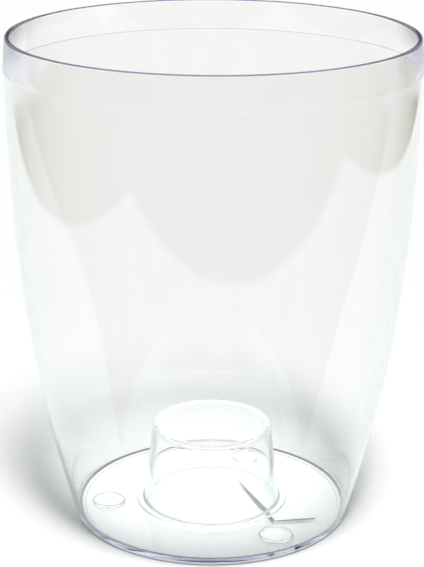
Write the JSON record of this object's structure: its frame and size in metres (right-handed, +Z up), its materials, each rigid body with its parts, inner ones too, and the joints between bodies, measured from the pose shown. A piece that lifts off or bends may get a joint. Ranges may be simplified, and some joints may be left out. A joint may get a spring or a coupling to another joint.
{
  "type": "clear plant pot",
  "caption": "Clear round plant pot with a bowed tapering wall, a flared rim band, a lift-out riser on its floor and lift-out drain plugs.",
  "frame": {"origin": "middle of the foot ring, on the surface that the pot stands on", "axes": "+Z up, along the pot's axis, from the foot to the mouth; -Y is the side that the picture shows"},
  "size_m": [0.1338, 0.1338, 0.164],
  "materials": {
    "pot_clear": "clear polystyrene, mould-polished, faint violet where the light's path is long",
    "riser_clear": "clear polystyrene, glossy",
    "plug_clear": "clear polystyrene, slightly duller than the pot"
  },
  "bodies": {
    "pot": {"pot_body": "pot_clear"},
    "riser": {"riser": "riser_clear"},
    "plug_1": {"drain_plug_1": "plug_clear"},
    "plug_2": {"drain_plug_2": "plug_clear"},
    "plug_3": {"drain_plug_3": "plug_clear"}
  },
  "joints": [
    {"name": "riser_lift", "type": "slide", "parent": "pot", "child": "riser", "axis": [0, 0, 1], "range_m": [0, 0.165]},
    {"name": "plug_1_lift", "type": "slide", "parent": "pot", "child": "plug_1", "axis": [0, 0, 1], "range_m": [0, 0.165]},
    {"name": "plug_2_lift", "type": "slide", "parent": "pot", "child": "plug_2", "axis": [0, 0, 1], "range_m": [0, 0.165]},
    {"name": "plug_3_lift", "type": "slide", "parent": "pot", "child": "plug_3", "axis": [0, 0, 1], "range_m": [0, 0.165]}
  ]
}
